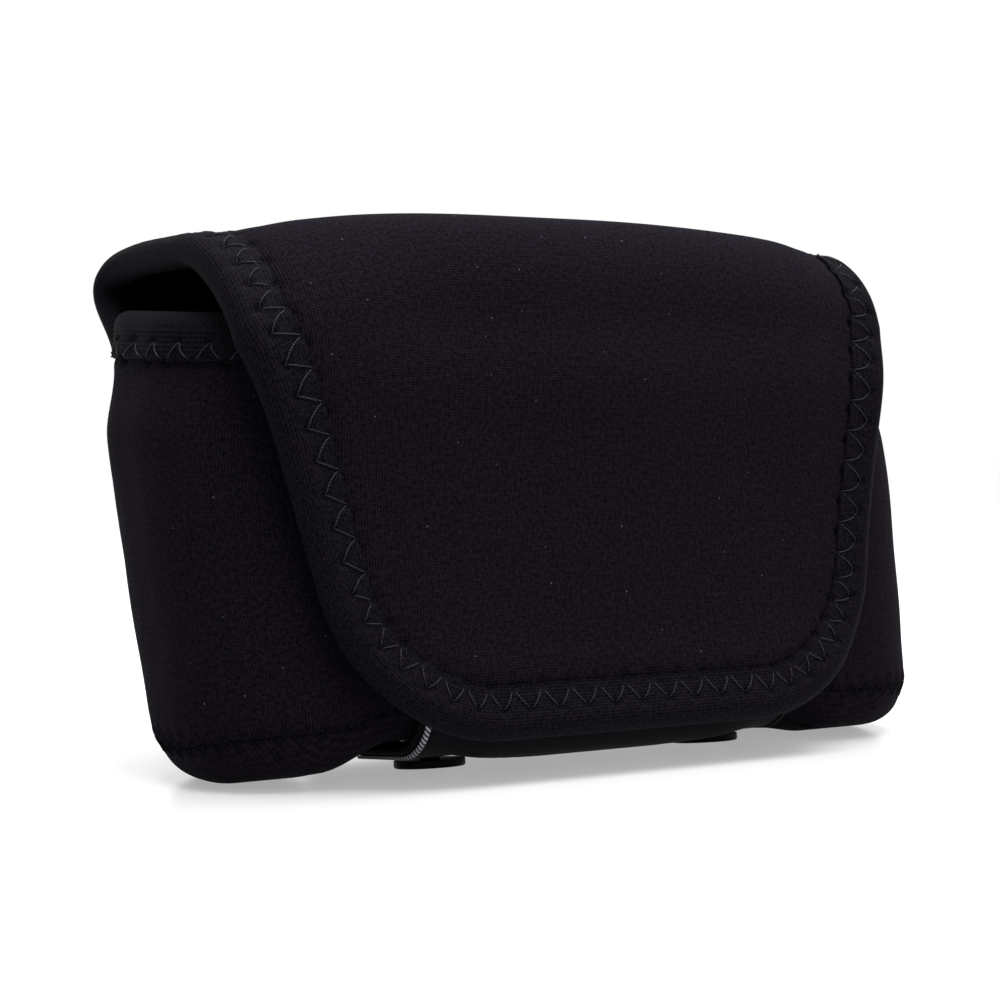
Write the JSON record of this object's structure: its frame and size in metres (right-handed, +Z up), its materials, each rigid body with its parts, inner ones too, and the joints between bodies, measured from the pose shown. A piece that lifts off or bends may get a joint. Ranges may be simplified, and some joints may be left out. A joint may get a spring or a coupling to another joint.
{
  "type": "camera pouch",
  "caption": "Soft neoprene camera pouch with a flap over its top and front, bound stitched edges, and a belt strap snapped under its base.",
  "frame": {"origin": "centre of the footprint box, on the floor that the pouch stands on", "axes": "+X along the width to the right seen from the front, -Y towards the flap's front, +Z up"},
  "size_m": [0.1392, 0.0728, 0.0835],
  "materials": {
    "jersey": "black nylon knit face",
    "knit_tape": "black knit tape",
    "thread": "grey sewing thread",
    "hook_and_loop": "black hook and loop tape",
    "webbing": "smooth black webbing",
    "label": "woven black satin",
    "cap_plastic": "black coated snap cap",
    "snap_metal": "plain steel snap parts"
  },
  "bodies": {
    "body": {"front_wrap": "jersey", "back_panel": "jersey", "base_panel": "jersey", "mouth_binding": "knit_tape", "mouth_stitching": "thread", "base_stitching": "thread", "loop_patch": "hook_and_loop", "belt_strap": "webbing", "snap_stud_left": "snap_metal", "snap_plate_left": "snap_metal", "snap_stud_right": "snap_metal", "snap_plate_right": "snap_metal"},
    "flap_top": {"flap_top": "jersey", "flap_binding_left": "knit_tape", "flap_binding_right": "knit_tape", "flap_stitching_left": "thread", "flap_stitching_right": "thread"},
    "flap_front": {"flap_front": "jersey", "flap_binding_front": "knit_tape", "flap_stitching_front": "thread", "hook_patch": "hook_and_loop"},
    "strap_tail": {"strap_tail": "webbing", "tail_label": "label", "snap_cap_left": "cap_plastic", "snap_socket_left": "snap_metal", "snap_cap_right": "cap_plastic", "snap_socket_right": "snap_metal"}
  },
  "joints": [
    {"name": "flap_root", "type": "hinge", "parent": "body", "child": "flap_top", "pos_m": [0, 0.027, 0.062], "axis": [-1, 0, 0], "range_deg": [0, 120]},
    {"name": "flap_fold", "type": "hinge", "parent": "flap_top", "child": "flap_front", "pos_m": [0, -0.02326, 0.07433], "axis": [-1, 0, 0], "range_deg": [0, 100]},
    {"name": "tail_fold", "type": "hinge", "parent": "body", "child": "strap_tail", "pos_m": [-0.0023, 0.00028, 0.00101], "axis": [1, 0, 0], "range_deg": [0, 100]}
  ]
}
